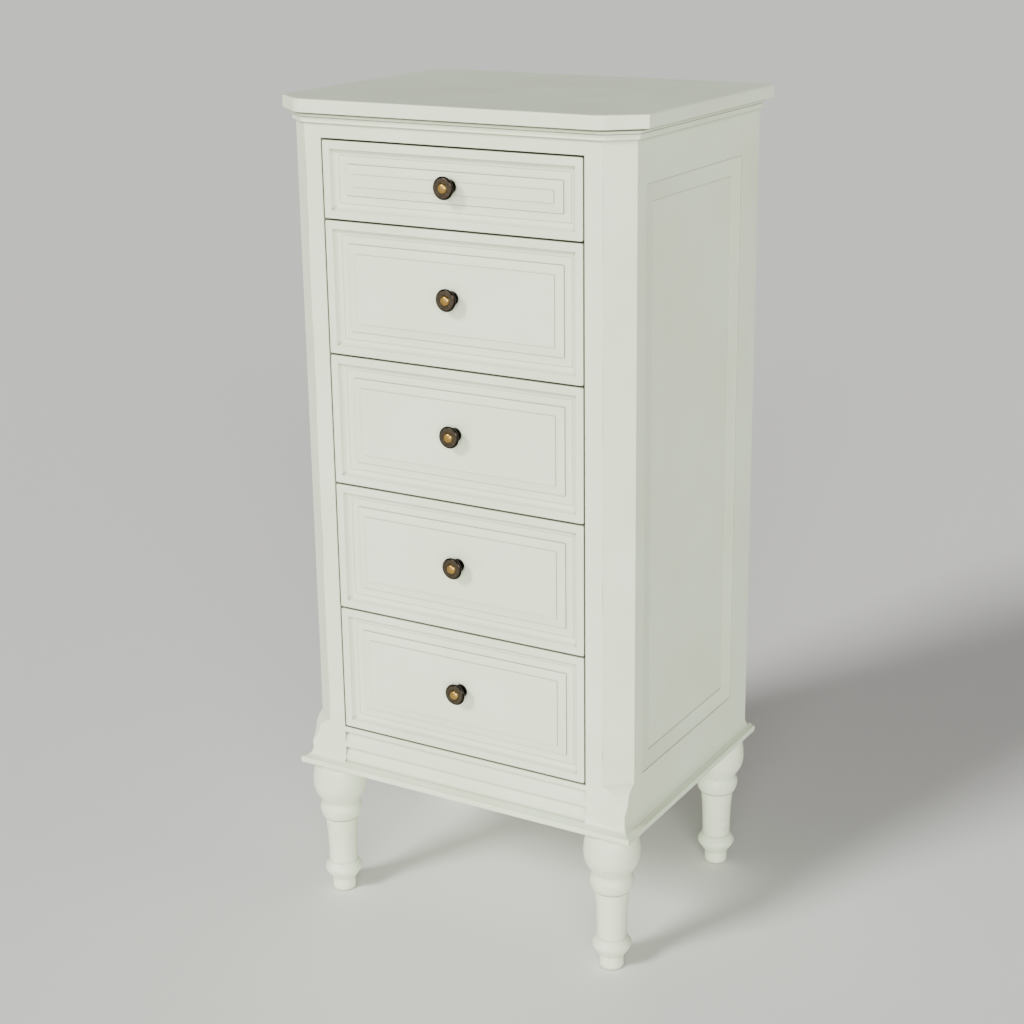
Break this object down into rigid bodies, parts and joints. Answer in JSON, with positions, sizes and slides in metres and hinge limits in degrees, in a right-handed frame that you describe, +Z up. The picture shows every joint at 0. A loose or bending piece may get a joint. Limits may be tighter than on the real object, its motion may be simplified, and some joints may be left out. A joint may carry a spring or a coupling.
{
  "type": "tall chest of drawers",
  "caption": "Tall narrow painted chest of drawers on turned legs, with canted corners, a moulded top and drawers that pull out on wooden runners to hold clothes",
  "frame": {"origin": "on the floor, under the middle of the chest's bounding box", "axes": "+Z up, the drawers face -Y and pull out along -Y, +X to the right of someone facing the drawers"},
  "size_m": [0.514, 0.3965, 1.0997],
  "materials": {
    "painted_wood": "satin off-white paint over solid wood",
    "raw_wood": "bare planed softwood",
    "plywood": "bare thin plywood",
    "aged_bronze": "dark antique bronze with rubbed brass on the crown"
  },
  "bodies": {
    "carcass": {"top_panel": "painted_wood", "cornice_front": "painted_wood", "cornice_right": "painted_wood", "cornice_left": "painted_wood", "corner_post_right": "painted_wood", "rear_post_right": "painted_wood", "side_rail_top_right": "painted_wood", "side_rail_bottom_right": "painted_wood", "side_panel_right": "painted_wood", "face_stile_right": "painted_wood", "corner_post_left": "painted_wood", "rear_post_left": "painted_wood", "side_rail_top_left": "painted_wood", "side_rail_bottom_left": "painted_wood", "side_panel_left": "painted_wood", "face_stile_left": "painted_wood", "front_rail_top": "painted_wood", "front_rail_bottom": "painted_wood", "base_board": "painted_wood", "leg_front_left": "painted_wood", "leg_front_right": "painted_wood", "leg_back_left": "painted_wood", "leg_back_right": "painted_wood", "back_panel": "plywood", "runner_frame_1": "raw_wood", "runner_frame_2": "raw_wood", "runner_frame_3": "raw_wood", "runner_frame_4": "raw_wood", "runner_frame_5": "raw_wood"},
    "drawer_1": {"drawer_1_front": "painted_wood", "drawer_1_knob": "aged_bronze", "drawer_1_side_right": "raw_wood", "drawer_1_side_left": "raw_wood", "drawer_1_back": "raw_wood", "drawer_1_bottom": "plywood"},
    "drawer_2": {"drawer_2_front": "painted_wood", "drawer_2_knob": "aged_bronze", "drawer_2_side_right": "raw_wood", "drawer_2_side_left": "raw_wood", "drawer_2_back": "raw_wood", "drawer_2_bottom": "plywood"},
    "drawer_3": {"drawer_3_front": "painted_wood", "drawer_3_knob": "aged_bronze", "drawer_3_side_right": "raw_wood", "drawer_3_side_left": "raw_wood", "drawer_3_back": "raw_wood", "drawer_3_bottom": "plywood"},
    "drawer_4": {"drawer_4_front": "painted_wood", "drawer_4_knob": "aged_bronze", "drawer_4_side_right": "raw_wood", "drawer_4_side_left": "raw_wood", "drawer_4_back": "raw_wood", "drawer_4_bottom": "plywood"},
    "drawer_5": {"drawer_5_front": "painted_wood", "drawer_5_knob": "aged_bronze", "drawer_5_side_right": "raw_wood", "drawer_5_side_left": "raw_wood", "drawer_5_back": "raw_wood", "drawer_5_bottom": "plywood"}
  },
  "joints": [
    {"name": "drawer_1_slide", "type": "slide", "parent": "carcass", "child": "drawer_1", "axis": [0, -1, 0], "range_m": [0, 0.25]},
    {"name": "drawer_2_slide", "type": "slide", "parent": "carcass", "child": "drawer_2", "axis": [0, -1, 0], "range_m": [0, 0.25]},
    {"name": "drawer_3_slide", "type": "slide", "parent": "carcass", "child": "drawer_3", "axis": [0, -1, 0], "range_m": [0, 0.25]},
    {"name": "drawer_4_slide", "type": "slide", "parent": "carcass", "child": "drawer_4", "axis": [0, -1, 0], "range_m": [0, 0.25]},
    {"name": "drawer_5_slide", "type": "slide", "parent": "carcass", "child": "drawer_5", "axis": [0, -1, 0], "range_m": [0, 0.25]}
  ]
}
